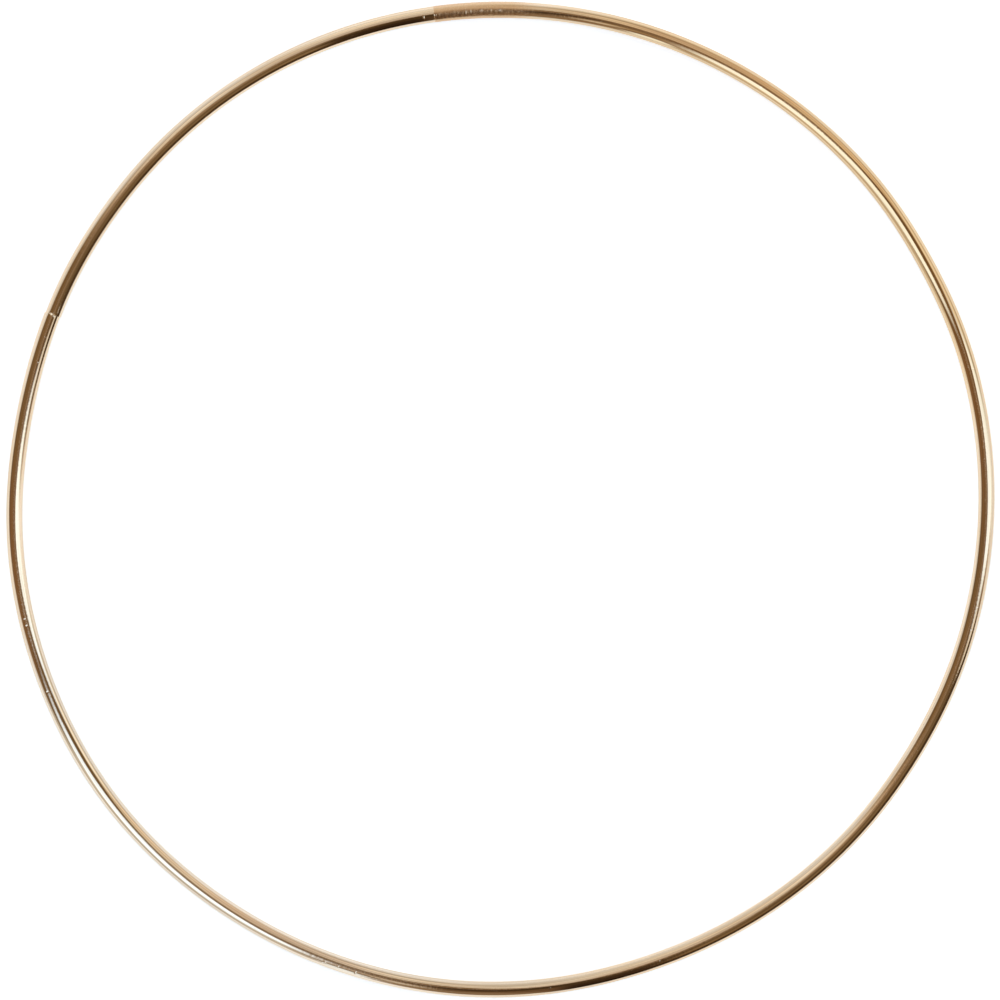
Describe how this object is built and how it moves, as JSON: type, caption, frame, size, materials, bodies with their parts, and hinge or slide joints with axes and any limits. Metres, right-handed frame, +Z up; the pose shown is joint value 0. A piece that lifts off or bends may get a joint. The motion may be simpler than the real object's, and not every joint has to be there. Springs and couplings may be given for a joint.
{
  "type": "wreath frame",
  "caption": "Thin brass-plated tube bent into a hoop and closed end to end over an inner joining pin, for tying a wreath on.",
  "frame": {"origin": "centre of the hoop's outline box, on the plane that the hoop lies on", "axes": "+Z up, square to the hoop's plane. The seam is 157.5 degrees from +X, turning towards +Y."},
  "size_m": [0.2986, 0.3008, 0.005],
  "materials": {
    "brass_plate": "polished brass plate over drawn tube, with fine lengthwise drawing lines and small nicks",
    "bare_steel": "unplated cut rod, dull",
    "solder": "pale, soft-edged solder, half matt"
  },
  "bodies": {
    "root": {"hoop_tube": "brass_plate", "joining_pin": "bare_steel", "solder_bead": "solder"}
  },
  "joints": []
}
